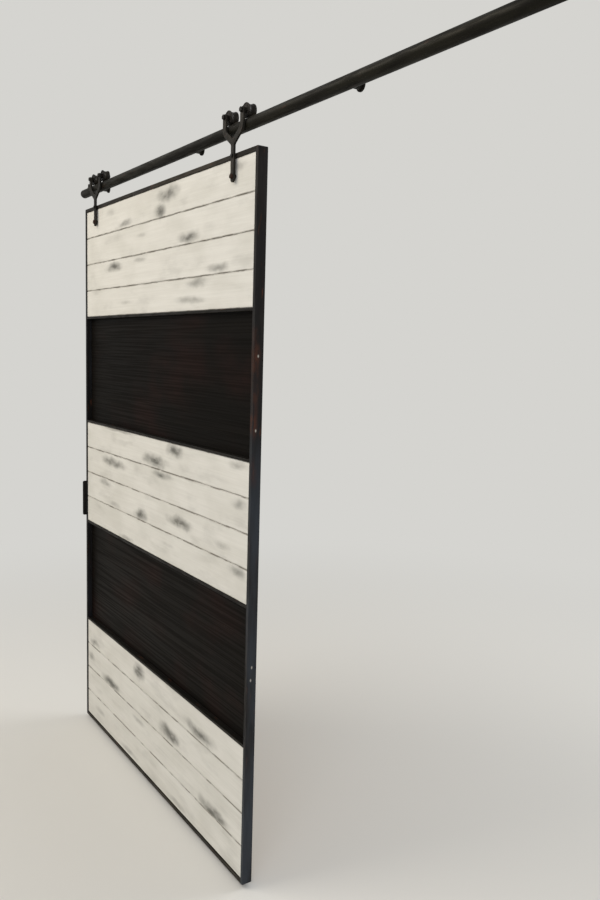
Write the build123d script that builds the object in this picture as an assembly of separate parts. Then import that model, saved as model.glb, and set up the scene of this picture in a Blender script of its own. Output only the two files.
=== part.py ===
"""Sliding barn door: a framed door of boards and steel panels, hung on a round rail.

The origin is on the wall, at the middle of the line of wall fixings.
X runs along the rail, Y into the wall and Z up. The door hangs in front, at negative Y.
"""

import os
from math import cos, isclose, radians, tan

from build123d import *

# Rail
RAIL_LENGTH = 2743
RAIL_DIAMETER = 33.4
RAIL_WALL = 3.4
RAIL_FROM_WALL = 38
CAP_RISE = 7
CAP_SHOULDER = 2.5
CAP_CROWN_DIAMETER = 24
CAP_PLUG_LENGTH = 20

# Stop pegs
STOP_FROM_RAIL_END = 55.5
STOP_DIAMETER = 12
STOP_HEIGHT = 14
STOP_EDGE = 2

# Standoffs
STANDOFF_COUNT = 4
STANDOFF_FROM_RAIL_END = 171.5
STANDOFF_DIAMETER = 22
STANDOFF_FOOT_DIAMETER = 30
STANDOFF_FOOT_THICKNESS = 4
STUD_BORE_DIAMETER = 10.5
STUD_BORE_DEPTH = 16

# Door frame
DOOR_WIDTH = 1350
DOOR_HEIGHT = 2134
DOOR_FROM_RAIL_END = 51.5
DOOR_BELOW_RAIL_AXIS = 71
FRAME_AHEAD_OF_RAIL_AXIS = 16
FRAME_FACE = 12.7
FRAME_DEPTH = 31.75
FRAME_CORNER_RADIUS = 4
FRAME_EDGE = 0.8

# Boards
FIELD_COUNT = 3
BOARDS_PER_FIELD = 4
BOARD_PITCH = 104
BOARD_THICKNESS = 19
BOARD_SETBACK = 3
BOARD_GAP = 0.6
BOARD_END_GAP = 0.5
BOARD_CHAMFER = 2
TONGUE_THICKNESS = 6.4
TONGUE_HEIGHT = 6.5
GROOVE_CLEARANCE = 0.2

# Panels, dividing bars and backing
DIVIDER_FACE = 8
DIVIDER_EDGE = 0.8
PANEL_THICKNESS = 2
BACKING_THICKNESS = 9.5
BACKING_BOARD_COUNT = 2

# Edge pull
PULL_LENGTH = 145
PULL_THICKNESS = 4
PULL_REACH = 14
PULL_SHORT_OF_BACK = 6
PULL_BOTTOM_HEIGHT = 880
PULL_CORNER_RADIUS = 6
PULL_EDGE = 0.8

# Hanger forks
HANGER_FROM_DOOR_EDGE = 128
FORK_THICKNESS = 6
FORK_TO_RAIL_GAP = 1.3
FORK_ARM_WIDTH = 18
FORK_STEM_WIDTH = 18
FORK_SHOULDER_BELOW_AXIS = 9
FORK_CROTCH_BELOW_AXIS = 43
FORK_STEM_FOOT_BELOW_AXIS = 150
FORK_SHOULDER_RADIUS = 24
FORK_CROTCH_RADIUS = 15
FORK_NECK_RADIUS = 9
FORK_EDGE = 1

# Hanger fasteners
TOP_SCREW_DIAMETER = 6
TOP_SCREW_ACROSS_FLATS = 10
TOP_SCREW_HEAD_HEIGHT = 4
TOP_SCREW_DEPTH_IN_BAR = 16
TOP_SPACER_DIAMETER = 14
FOOT_BOLT_DIAMETER = 8
FOOT_BOLT_ACROSS_FLATS = 13
FOOT_BOLT_HEAD_HEIGHT = 5.3
FOOT_BOLT_BELOW_AXIS = 134
FOOT_BOLT_TAIL = 1.5
FOOT_SPACER_DIAMETER = 14
FOOT_FLANGE_DIAMETER = 18
FOOT_FLANGE_THICKNESS = 1.6
FOOT_NUT_HEIGHT = 8
BOLT_CLEARANCE = 0.2
THREAD_CLEARANCE = 0.05

# Wheels
WHEEL_SPACING = 98
WHEEL_WIDTH = 24
WHEEL_TREAD_RADIUS = 18
WHEEL_FLANK_ANGLE = 28
WHEEL_RIM_LAND = 2.4
WHEEL_TO_RAIL_GAP = 0.3
WHEEL_RUNNING_CLEARANCE = 0.05
WHEEL_END_FLOAT = 0.3

# Axles
AXLE_DIAMETER = 8
AXLE_ACROSS_FLATS = 13
AXLE_HEAD_HEIGHT = 5.3
AXLE_NUT_HEIGHT = 6.5
AXLE_TAIL = 1.5
SLEEVE_DIAMETER = 16

# Contact gaps
SADDLE_CLEARANCE = 0.05
CAP_CLEARANCE = 0.1

# Two corners closer than this are one place
SAME_PLACE = 0.01

# Places that follow from the sizes above
RAIL_RADIUS = RAIL_DIAMETER / 2
RAIL_Y = -RAIL_FROM_WALL
RAIL_END = RAIL_LENGTH / 2
STOP_X = RAIL_END - STOP_FROM_RAIL_END

DOOR_LEFT = -RAIL_END + DOOR_FROM_RAIL_END
DOOR_RIGHT = DOOR_LEFT + DOOR_WIDTH
DOOR_TOP = -DOOR_BELOW_RAIL_AXIS
DOOR_BOTTOM = DOOR_TOP - DOOR_HEIGHT
FRAME_FRONT = RAIL_Y - FRAME_AHEAD_OF_RAIL_AXIS
FRAME_BACK = FRAME_FRONT + FRAME_DEPTH
INSIDE_LEFT = DOOR_LEFT + FRAME_FACE
INSIDE_RIGHT = DOOR_RIGHT - FRAME_FACE
INSIDE_TOP = DOOR_TOP - FRAME_FACE
INSIDE_BOTTOM = DOOR_BOTTOM + FRAME_FACE

BOARD_FRONT = FRAME_FRONT + BOARD_SETBACK
BOARD_BACK = BOARD_FRONT + BOARD_THICKNESS
BACKING_BACK = BOARD_BACK + BACKING_THICKNESS
FIELD_HEIGHT = BOARDS_PER_FIELD * BOARD_PITCH
BAY_COUNT = FIELD_COUNT - 1
BAY_HEIGHT = (INSIDE_TOP - INSIDE_BOTTOM - FIELD_COUNT * FIELD_HEIGHT) / BAY_COUNT

FORK_BACK = RAIL_Y - RAIL_RADIUS - FORK_TO_RAIL_GAP
FORK_FRONT = FORK_BACK - FORK_THICKNESS
HANGER_XS = (DOOR_LEFT + HANGER_FROM_DOOR_EDGE, DOOR_RIGHT - HANGER_FROM_DOOR_EDGE)
AXLE_Z = RAIL_RADIUS + WHEEL_TO_RAIL_GAP + WHEEL_TREAD_RADIUS
WHEEL_XS = [x + side * WHEEL_SPACING / 2 for x in HANGER_XS for side in (-1, 1)]
SLEEVE_BACK = RAIL_Y - WHEEL_WIDTH / 2 - WHEEL_END_FLOAT
AXLE_NUT_FRONT = RAIL_Y + WHEEL_WIDTH / 2 + WHEEL_END_FLOAT
AXLE_NUT_BACK = AXLE_NUT_FRONT + AXLE_NUT_HEIGHT
TOP_SCREW_Z = DOOR_TOP - FRAME_FACE / 2
FOOT_BOLT_Z = -FOOT_BOLT_BELOW_AXIS
FOOT_FLANGE_BACK = BACKING_BACK + FOOT_FLANGE_THICKNESS
FOOT_NUT_BACK = BACKING_BACK + FOOT_NUT_HEIGHT


def block(left, right, front, back, bottom, top):
    """Straight-edged block between six faces."""
    size = Box(right - left, back - front, top - bottom)
    return Pos((left + right) / 2, (front + back) / 2, (bottom + top) / 2) * size


def drawn(outline, front, back):
    """Outline in X and Z, drawn out from a front depth to a back depth."""
    return extrude(Plane.XZ.offset(-back) * outline, back - front)


def disc(x, z, diameter):
    """Round outline about a point of the door's face."""
    return Pos(x, z) * Circle(diameter / 2)


def hexagon(x, z, across_flats):
    """Six-sided outline of a bolt head or a nut."""
    return Pos(x, z) * RegularPolygon(across_flats / 2, 6, major_radius=False)


def hex_bolt(x, z, diameter, across_flats, head_height, seat, tip):
    """Hex bolt along Y, with its head in front of the seat."""
    head = drawn(hexagon(x, z, across_flats), seat - head_height, seat)
    return head + drawn(disc(x, z, diameter), seat, tip)


def bored(solid, x, z, diameter, front, back):
    """Solid with a round hole along Y between two depths."""
    return solid - drawn(disc(x, z, diameter), front, back)


def rail_rod(radius, length):
    """Round bar on the rail's axis."""
    return Pos(0, RAIL_Y, 0) * Rot(0, 90, 0) * Cylinder(radius, length)


def rail_tube():
    """Rail tube, open at both ends."""
    return rail_rod(RAIL_RADIUS, RAIL_LENGTH) - rail_rod(RAIL_RADIUS - RAIL_WALL, RAIL_LENGTH)


def rail_cap(side):
    """End cap with a tapered crown and a plug inside the tube."""
    plug_radius = RAIL_RADIUS - RAIL_WALL - CAP_CLEARANCE
    section = Polyline((-CAP_PLUG_LENGTH, 0), (-CAP_PLUG_LENGTH, plug_radius), (0, plug_radius),
                       (0, RAIL_RADIUS), (CAP_SHOULDER, RAIL_RADIUS),
                       (CAP_RISE, CAP_CROWN_DIAMETER / 2), (CAP_RISE, 0), close=True)
    cap = Pos(RAIL_END, RAIL_Y, 0) * revolve(make_face(section), Axis.X)
    return cap if side > 0 else mirror(cap, Plane.YZ)


def stop_peg(side):
    """Round peg welded upright on the tube."""
    height = RAIL_RADIUS + STOP_HEIGHT
    peg = extrude(Circle(STOP_DIAMETER / 2), height)
    peg = chamfer(peg.edges().sort_by(Axis.Z)[-1], STOP_EDGE)
    return Pos(side * STOP_X, RAIL_Y, 0) * peg - rail_rod(RAIL_RADIUS + SADDLE_CLEARANCE, RAIL_LENGTH)


def standoff_xs():
    """Places of the standoffs along the rail."""
    first = STANDOFF_FROM_RAIL_END - RAIL_END
    pitch = -2 * first / (STANDOFF_COUNT - 1)
    return [first + index * pitch for index in range(STANDOFF_COUNT)]


def standoff(x):
    """Turned standoff between the wall and the back of the tube, bored for a wall stud."""
    foot = drawn(disc(x, 0, STANDOFF_FOOT_DIAMETER), -STANDOFF_FOOT_THICKNESS, 0)
    post = foot + drawn(disc(x, 0, STANDOFF_DIAMETER), RAIL_Y, 0)
    post -= rail_rod(RAIL_RADIUS + SADDLE_CLEARANCE, RAIL_LENGTH)
    return bored(post, x, 0, STUD_BORE_DIAMETER, -STUD_BORE_DEPTH, 0)


def eased(bar, along, edge):
    """Bar with its long edges broken."""
    return chamfer(bar.edges().filter_by(along), edge)


def frame_stile(side):
    """Upright flat bar, as high as the door, with its outer corners rounded."""
    left = DOOR_LEFT if side < 0 else INSIDE_RIGHT
    bar = block(left, left + FRAME_FACE, FRAME_FRONT, FRAME_BACK, DOOR_BOTTOM, DOOR_TOP)
    outer = bar.edges().filter_by(Axis.Y).group_by(Axis.X)[0 if side < 0 else -1]
    bar = fillet(outer, FRAME_CORNER_RADIUS)
    return eased(bar, Axis.Z, FRAME_EDGE)


def frame_bar(bottom):
    """Level flat bar between the stiles."""
    bar = block(INSIDE_LEFT, INSIDE_RIGHT, FRAME_FRONT, FRAME_BACK, bottom, bottom + FRAME_FACE)
    return eased(bar, Axis.X, FRAME_EDGE)


def top_bar():
    """Top bar, tapped for the upper screw of each hanger."""
    bar = frame_bar(INSIDE_TOP)
    for x in HANGER_XS:
        hole = TOP_SCREW_DIAMETER + 2 * THREAD_CLEARANCE
        bar = bored(bar, x, TOP_SCREW_Z, hole, FRAME_FRONT, FRAME_FRONT + TOP_SCREW_DEPTH_IN_BAR)
    return bar


def bay_bottom(bay):
    """Lower edge of a panel's bay, counted from the bottom of the door."""
    return INSIDE_BOTTOM + (bay + 1) * FIELD_HEIGHT + bay * BAY_HEIGHT


def divider(bay, is_upper):
    """Thin bar along one edge of a panel."""
    low = bay_bottom(bay)
    bottom = low + BAY_HEIGHT - DIVIDER_FACE if is_upper else low
    bar = block(INSIDE_LEFT, INSIDE_RIGHT, FRAME_FRONT, BOARD_BACK, bottom, bottom + DIVIDER_FACE)
    return eased(bar, Axis.X, DIVIDER_EDGE)


def panel(bay):
    """Steel sheet on the backing, between two dividing bars."""
    bottom = bay_bottom(bay) + DIVIDER_FACE
    top = bay_bottom(bay) + BAY_HEIGHT - DIVIDER_FACE
    return block(INSIDE_LEFT, INSIDE_RIGHT, BOARD_BACK - PANEL_THICKNESS, BOARD_BACK, bottom, top)


def board_section(has_tongue, has_groove):
    """Board's section in Y and Z: a V joint at the front, a tongue above and a groove below."""
    face = BOARD_PITCH - BOARD_GAP
    section = Rectangle(BOARD_THICKNESS, face, align=Align.MIN)
    section = chamfer(section.vertices().group_by(Axis.X)[0], BOARD_CHAMFER)
    if has_tongue:
        tongue = Rectangle(TONGUE_THICKNESS, TONGUE_HEIGHT, align=(Align.CENTER, Align.MIN))
        section += Pos(BOARD_THICKNESS / 2, face) * tongue
    if has_groove:
        width = TONGUE_THICKNESS + 2 * GROOVE_CLEARANCE
        groove = Rectangle(width, TONGUE_HEIGHT + GROOVE_CLEARANCE, align=(Align.CENTER, Align.MIN))
        section -= Pos(BOARD_THICKNESS / 2, 0) * groove
    return section


def board(field, row):
    """One board of a field, counted from the bottom."""
    bottom = INSIDE_BOTTOM + field * (FIELD_HEIGHT + BAY_HEIGHT) + row * BOARD_PITCH
    section = board_section(row < BOARDS_PER_FIELD - 1, row > 0)
    left = INSIDE_LEFT + BOARD_END_GAP
    length = INSIDE_RIGHT - BOARD_END_GAP - left
    solid = Pos(left, BOARD_FRONT, bottom + BOARD_GAP / 2) * extrude(Plane.YZ * section, length)
    return foot_bolt_holes(solid, bottom, bottom + BOARD_PITCH)


def backing(index):
    """One of the boards behind the whole door."""
    height = (INSIDE_TOP - INSIDE_BOTTOM) / BACKING_BOARD_COUNT
    bottom = INSIDE_BOTTOM + index * height
    sheet = block(INSIDE_LEFT + BOARD_END_GAP, INSIDE_RIGHT - BOARD_END_GAP,
                  BOARD_BACK, BACKING_BACK, bottom, bottom + height)
    return foot_bolt_holes(sheet, bottom, bottom + height)


def foot_bolt_holes(solid, bottom, top):
    """Board drilled for the hangers' lower bolts, where they pass between its edges."""
    if bottom < FOOT_BOLT_Z < top:
        for x in HANGER_XS:
            hole = FOOT_BOLT_DIAMETER + 2 * BOLT_CLEARANCE
            solid = bored(solid, x, FOOT_BOLT_Z, hole, FRAME_FRONT, FRAME_BACK)
    return solid


def edge_pull():
    """Flat plate on the left stile's edge, standing forward of the door."""
    bottom = DOOR_BOTTOM + PULL_BOTTOM_HEIGHT
    plate = block(DOOR_LEFT - PULL_THICKNESS, DOOR_LEFT, FRAME_FRONT - PULL_REACH,
                  FRAME_BACK - PULL_SHORT_OF_BACK, bottom, bottom + PULL_LENGTH)
    plate = fillet(plate.edges().filter_by(Axis.X), PULL_CORNER_RADIUS)
    return chamfer(plate.faces().sort_by(Axis.X)[0].edges(), PULL_EDGE)


def fork_outline():
    """Outline of a hanger about its own middle: two bent arms that join in a stem."""
    reach = WHEEL_SPACING / 2
    corners = ((-reach, AXLE_Z), (-reach, -FORK_SHOULDER_BELOW_AXIS), (0, -FORK_CROTCH_BELOW_AXIS),
               (reach, -FORK_SHOULDER_BELOW_AXIS), (reach, AXLE_Z))
    radii = (FORK_SHOULDER_RADIUS, FORK_CROTCH_RADIUS, FORK_SHOULDER_RADIUS)
    arms = make_face(offset(FilletPolyline(*corners, radius=radii), FORK_ARM_WIDTH / 2))
    top = -FORK_CROTCH_BELOW_AXIS
    end = FORK_STEM_WIDTH / 2 - FORK_STEM_FOOT_BELOW_AXIS
    stem = Pos(0, (top + end) / 2) * Rectangle(FORK_STEM_WIDTH, top - end)
    outline = arms + stem + Pos(0, end) * Circle(FORK_STEM_WIDTH / 2)
    half = FORK_STEM_WIDTH / 2
    on_sides = outline.vertices().filter_by(lambda v: isclose(abs(v.X), half, abs_tol=SAME_PLACE))
    return fillet(on_sides.group_by(Axis.Y)[-1], FORK_NECK_RADIUS)


def hanger_fork(x):
    """Forked flat plate that carries one corner of the door."""
    plate = drawn(Pos(x, 0) * fork_outline(), FORK_FRONT, FORK_BACK)
    plate = chamfer(plate.faces().sort_by(Axis.Y)[0].edges(), FORK_EDGE)
    for side in (-1, 1):
        hole = AXLE_DIAMETER + 2 * THREAD_CLEARANCE
        plate = bored(plate, x + side * WHEEL_SPACING / 2, AXLE_Z, hole, FORK_FRONT, FORK_BACK)
    plate = bored(plate, x, TOP_SCREW_Z, TOP_SCREW_DIAMETER + 2 * BOLT_CLEARANCE, FORK_FRONT, FORK_BACK)
    return bored(plate, x, FOOT_BOLT_Z, FOOT_BOLT_DIAMETER + 2 * BOLT_CLEARANCE, FORK_FRONT, FORK_BACK)


def spacers(z, outer, inner, back):
    """Round distance pieces behind both forks at one height."""
    return [bored(drawn(disc(x, z, outer), FORK_BACK, back), x, z, inner, FORK_BACK, back)
            for x in HANGER_XS]


def top_screws():
    """Screws through the forks into the top bar."""
    return [hex_bolt(x, TOP_SCREW_Z, TOP_SCREW_DIAMETER, TOP_SCREW_ACROSS_FLATS, TOP_SCREW_HEAD_HEIGHT,
                     FORK_FRONT, FRAME_FRONT + TOP_SCREW_DEPTH_IN_BAR) for x in HANGER_XS]


def foot_bolts():
    """Bolts through the forks, the top board and the backing."""
    return [hex_bolt(x, FOOT_BOLT_Z, FOOT_BOLT_DIAMETER, FOOT_BOLT_ACROSS_FLATS, FOOT_BOLT_HEAD_HEIGHT,
                     FORK_FRONT, FOOT_NUT_BACK + FOOT_BOLT_TAIL) for x in HANGER_XS]


def foot_nuts():
    """Flange nuts of the lower bolts, behind the backing."""
    hole = FOOT_BOLT_DIAMETER + 2 * THREAD_CLEARANCE
    nuts = []
    for x in HANGER_XS:
        flange = drawn(disc(x, FOOT_BOLT_Z, FOOT_FLANGE_DIAMETER), BACKING_BACK, FOOT_FLANGE_BACK)
        nut = flange + drawn(hexagon(x, FOOT_BOLT_Z, FOOT_BOLT_ACROSS_FLATS), BACKING_BACK, FOOT_NUT_BACK)
        nuts.append(bored(nut, x, FOOT_BOLT_Z, hole, BACKING_BACK, FOOT_NUT_BACK))
    return nuts


def wheel(x):
    """Grooved wheel: its flanks would touch a tube one running gap larger than the rail."""
    half = WHEEL_WIDTH / 2
    bore = AXLE_DIAMETER / 2 + WHEEL_RUNNING_CLEARANCE
    rise = tan(radians(WHEEL_FLANK_ANGLE))
    root = AXLE_Z - (RAIL_RADIUS + WHEEL_TO_RAIL_GAP) / cos(radians(WHEEL_FLANK_ANGLE))
    tread = (WHEEL_TREAD_RADIUS - root) / rise
    land = half - WHEEL_RIM_LAND
    rim = root + land * rise
    section = Polyline((bore, -half), (rim, -half), (rim, -land), (WHEEL_TREAD_RADIUS, -tread),
                       (WHEEL_TREAD_RADIUS, tread), (rim, land), (rim, half), (bore, half), close=True)
    return Pos(x, RAIL_Y, AXLE_Z) * revolve(make_face(section), Axis.Y)


def axle_sleeves():
    """Distance sleeves between the fork's arms and the wheels."""
    hole = AXLE_DIAMETER + 2 * THREAD_CLEARANCE
    return [bored(drawn(disc(x, AXLE_Z, SLEEVE_DIAMETER), FORK_BACK, SLEEVE_BACK),
                  x, AXLE_Z, hole, FORK_BACK, SLEEVE_BACK) for x in WHEEL_XS]


def axle_bolts():
    """Hex bolts that serve as axles."""
    return [hex_bolt(x, AXLE_Z, AXLE_DIAMETER, AXLE_ACROSS_FLATS, AXLE_HEAD_HEIGHT, FORK_FRONT,
                     AXLE_NUT_BACK + AXLE_TAIL) for x in WHEEL_XS]


def axle_nuts():
    """Nuts behind the wheels."""
    hole = AXLE_DIAMETER + 2 * THREAD_CLEARANCE
    return [bored(drawn(hexagon(x, AXLE_Z, AXLE_ACROSS_FLATS), AXLE_NUT_FRONT, AXLE_NUT_BACK),
                  x, AXLE_Z, hole, AXLE_NUT_FRONT, AXLE_NUT_BACK) for x in WHEEL_XS]


def write(name, shape):
    """Save one piece, or a group of like pieces, under its name."""
    solids = shape if isinstance(shape, list) else [shape]
    export_step(Compound(children=[solid for piece in solids for solid in piece.solids()]),
                f"parts/{name}.step")


def write_rail():
    """Pieces that stay on the wall."""
    write("rail_tube", rail_tube())
    write("rail_caps", [rail_cap(side) for side in (-1, 1)])
    write("stop_pegs", [stop_peg(side) for side in (-1, 1)])
    write("standoffs", [standoff(x) for x in standoff_xs()])


def write_door():
    """Frame, boards, panels, backing and edge pull."""
    write("frame_stile_left", frame_stile(-1))
    write("frame_stile_right", frame_stile(1))
    write("frame_bar_top", top_bar())
    write("frame_bar_bottom", frame_bar(DOOR_BOTTOM))
    for bay in range(BAY_COUNT):
        write(f"divider_{bay + 1}_lower", divider(bay, False))
        write(f"divider_{bay + 1}_upper", divider(bay, True))
        write(f"panel_{bay + 1}", panel(bay))
    for field in range(FIELD_COUNT):
        for row in range(BOARDS_PER_FIELD):
            write(f"board_{field * BOARDS_PER_FIELD + row + 1:02d}", board(field, row))
    for index in range(BACKING_BOARD_COUNT):
        write(f"backing_board_{index + 1}", backing(index))
    write("edge_pull", edge_pull())


def write_hangers():
    """Forks and what fastens them to the door."""
    for x, name in zip(HANGER_XS, ("left", "right")):
        write(f"hanger_fork_{name}", hanger_fork(x))
    top_hole = TOP_SCREW_DIAMETER + 2 * BOLT_CLEARANCE
    foot_hole = FOOT_BOLT_DIAMETER + 2 * BOLT_CLEARANCE
    write("hanger_spacers_top", spacers(TOP_SCREW_Z, TOP_SPACER_DIAMETER, top_hole, FRAME_FRONT))
    write("hanger_spacers_foot", spacers(FOOT_BOLT_Z, FOOT_SPACER_DIAMETER, foot_hole, BOARD_FRONT))
    write("hanger_screws_top", top_screws())
    write("hanger_bolts_foot", foot_bolts())
    write("hanger_nuts_foot", foot_nuts())


def write_wheels():
    """Wheels and axles."""
    for number, x in enumerate(WHEEL_XS, 1):
        write(f"wheel_{number}", wheel(x))
    write("axle_sleeves", axle_sleeves())
    write("axle_bolts", axle_bolts())
    write("axle_nuts", axle_nuts())


os.makedirs("parts", exist_ok=True)
write_rail()
write_door()
write_hangers()
write_wheels()
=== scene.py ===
# %% [markdown]
# A sliding barn door, dressed for the camera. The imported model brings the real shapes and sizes:
# a round rail, two forked hangers with grooved wheels, and a steel-framed door with boards and
# panels. This lesson gives each surface its finish and adds the small pieces that a maker would
# recognise: hex heads, screws, turned wheels and weld beads.

# %% Load the fixed frame
import bpy
from math import cos, pi, radians
from mathutils import Matrix, Vector


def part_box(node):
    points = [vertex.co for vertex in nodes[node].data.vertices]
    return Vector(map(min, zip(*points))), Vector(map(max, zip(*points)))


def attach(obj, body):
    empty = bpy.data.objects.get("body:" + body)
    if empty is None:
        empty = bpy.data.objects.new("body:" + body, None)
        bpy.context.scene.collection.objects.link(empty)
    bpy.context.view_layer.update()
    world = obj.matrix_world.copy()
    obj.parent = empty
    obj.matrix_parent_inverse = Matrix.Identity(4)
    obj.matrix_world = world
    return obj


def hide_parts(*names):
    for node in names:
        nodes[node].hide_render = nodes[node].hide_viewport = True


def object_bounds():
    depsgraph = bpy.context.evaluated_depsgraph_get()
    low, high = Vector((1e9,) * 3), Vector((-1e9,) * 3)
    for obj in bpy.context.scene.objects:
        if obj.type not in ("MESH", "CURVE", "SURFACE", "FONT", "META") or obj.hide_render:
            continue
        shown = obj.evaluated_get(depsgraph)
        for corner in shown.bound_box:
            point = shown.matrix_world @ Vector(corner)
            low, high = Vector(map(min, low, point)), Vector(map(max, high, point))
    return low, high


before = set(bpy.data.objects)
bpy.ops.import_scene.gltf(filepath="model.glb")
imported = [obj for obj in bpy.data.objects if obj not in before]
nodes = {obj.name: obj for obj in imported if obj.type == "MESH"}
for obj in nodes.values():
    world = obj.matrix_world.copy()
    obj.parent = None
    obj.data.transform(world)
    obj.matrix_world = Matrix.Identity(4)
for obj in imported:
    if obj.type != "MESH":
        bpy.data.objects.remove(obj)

cad_low, cad_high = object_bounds()
print("object", [round(b - a, 3) for a, b in zip(cad_low, cad_high)], "m,", len(nodes), "nodes")

# %% [markdown]
# Every size below is in metres, so one millimetre gets a name. Colours are written as the hex
# values that a paint maker would give, and one function turns them into the linear values that
# Blender wants.

# %% Units and colours
MM = 0.001


def tone(code):
    """Linear colour from an sRGB hex code."""
    parts = [int(code[index:index + 2], 16) / 255 for index in (1, 3, 5)]
    linear = [part / 12.92 if part <= 0.04045 else ((part + 0.055) / 1.055) ** 2.4
              for part in parts]
    return (*linear, 1.0)


print("white paint is", [round(part, 3) for part in tone("#E2DED4")])

# %% [markdown]
# A material is a small network. Adding a node, its settings and its links is the same chore each
# time, so one function does it: names or numbers of inputs on the left, values or sockets on the
# right.

# %% One function that adds a node
def add(tree, kind, inputs=None, **settings):
    """New node with its settings, values and links."""
    made = tree.nodes.new(kind)
    for name, value in settings.items():
        setattr(made, name, value)
    for name, value in (inputs or {}).items():
        if isinstance(value, bpy.types.NodeSocket):
            tree.links.new(value, made.inputs[name])
        else:
            made.inputs[name].default_value = value
    return made


def start_material(name):
    """Empty node material with a shader, its output and the object's own coordinates."""
    material = bpy.data.materials.new(name)
    material.use_nodes = True
    tree = material.node_tree
    tree.nodes.clear()
    shader = add(tree, "ShaderNodeBsdfPrincipled")
    add(tree, "ShaderNodeOutputMaterial", {"Surface": shader.outputs[0]})
    place = add(tree, "ShaderNodeTexCoord").outputs["Object"]
    return material, tree, shader, place


# %% [markdown]
# Two patterns come back in every finish. A patch pattern is noise cut at a threshold, soft or hard.
# A blend lays one colour over another where a pattern says so. Both take real sizes in millimetres.

# %% Patches and blends
def patches(tree, place, size_mm, low, high, stretch=(1, 1, 1), shift=0.0, detail=4.0):
    """Mask of cloudy patches of a size, longer along the axes whose stretch is more than one."""
    scale = [1 / part for part in stretch]
    moved = add(tree, "ShaderNodeMapping",
                {"Vector": place, "Location": (shift, shift, shift), "Scale": scale})
    cloud = add(tree, "ShaderNodeTexNoise",
                {"Vector": moved.outputs[0], "Scale": 1 / (size_mm * MM), "Detail": detail})
    cut = add(tree, "ShaderNodeMapRange",
              {"Value": cloud.outputs[0], "From Min": low, "From Max": high},
              interpolation_type="SMOOTHSTEP")
    return cut.outputs[0]


def blend(tree, mask, under, over):
    """Second colour over the first, where the mask is one."""
    mix = add(tree, "ShaderNodeMix", {0: mask, 6: under, 7: over}, data_type="RGBA")
    return mix.outputs[2]


def times(tree, first, second):
    """Product of two masks or numbers."""
    return add(tree, "ShaderNodeMath", {0: first, 1: second}, operation="MULTIPLY").outputs[0]


def larger(tree, first, second):
    """The larger of two masks at each point."""
    return add(tree, "ShaderNodeMath", {0: first, 1: second}, operation="MAXIMUM").outputs[0]


def mark(tree, place, centre_mm, size_mm, strength=1.0):
    """Mask of one soft mark with a ragged edge. A size of nought leaves that direction open."""
    ragged = add(tree, "ShaderNodeTexNoise", {"Vector": place, "Scale": 13.0, "Detail": 3.0})
    pushed = add(tree, "ShaderNodeVectorMath", {0: ragged.outputs["Color"], 1: (0.5, 0.5, 0.5)},
                 operation="SUBTRACT")
    push = Vector((size_mm[0] * 0.6, size_mm[1], size_mm[2])) * MM
    shift = add(tree, "ShaderNodeVectorMath", {0: pushed.outputs[0], 1: push}, operation="MULTIPLY")
    moved = add(tree, "ShaderNodeVectorMath", {0: place, 1: shift.outputs[0]})
    centred = add(tree, "ShaderNodeVectorMath", {0: moved.outputs[0], 1: Vector(centre_mm) * MM},
                  operation="SUBTRACT")
    reach = [2 / (size * MM) if size else 0 for size in size_mm]
    scaled = add(tree, "ShaderNodeVectorMath", {0: centred.outputs[0], 1: reach},
                 operation="MULTIPLY")
    distance = add(tree, "ShaderNodeVectorMath", {0: scaled.outputs[0]}, operation="LENGTH")
    fade = add(tree, "ShaderNodeMapRange",
               {"Value": distance.outputs["Value"], "From Min": 1.5, "From Max": 0.05,
                "To Max": strength},
               interpolation_type="SMOOTHSTEP")
    return fade.outputs[0]


def slope(tree, value, low, high, start=0.0, end=1.0):
    """Number that runs from start to end while a value runs from low to high."""
    return add(tree, "ShaderNodeMapRange", {"Value": value, "From Min": low, "From Max": high,
                                            "To Min": start, "To Max": end},
               interpolation_type="SMOOTHSTEP").outputs[0]


def worn_edges(tree, radius_mm):
    """Mask of sharp edges, where hands and cloths polish a surface first."""
    soft = add(tree, "ShaderNodeBevel", {"Radius": radius_mm * MM}, samples=6)
    true = add(tree, "ShaderNodeNewGeometry")
    same = add(tree, "ShaderNodeVectorMath", {0: soft.outputs[0], 1: true.outputs["True Normal"]},
               operation="DOT_PRODUCT")
    return slope(tree, same.outputs["Value"], 0.995, 0.90)


def roughen(tree, shader, height, depth_mm):
    """Small relief on the surface, from a height pattern."""
    bump = add(tree, "ShaderNodeBump",
               {"Height": height, "Distance": depth_mm * MM, "Strength": 0.6})
    tree.links.new(bump.outputs[0], shader.inputs["Normal"])


# %% [markdown]
# The boards are pine, painted with a chalky white and then rubbed back by hand. The paint has soft
# grey smudges where the hand dwelt, a little grime at each joint, and the grain shows faintly along
# the board. Each board has its own marks, so each gets its own material from one recipe.
# A mark is given as it would be on a work sheet: how far from the left stile, how far above the
# board's middle, its length and height in millimetres, and its strength.

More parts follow.
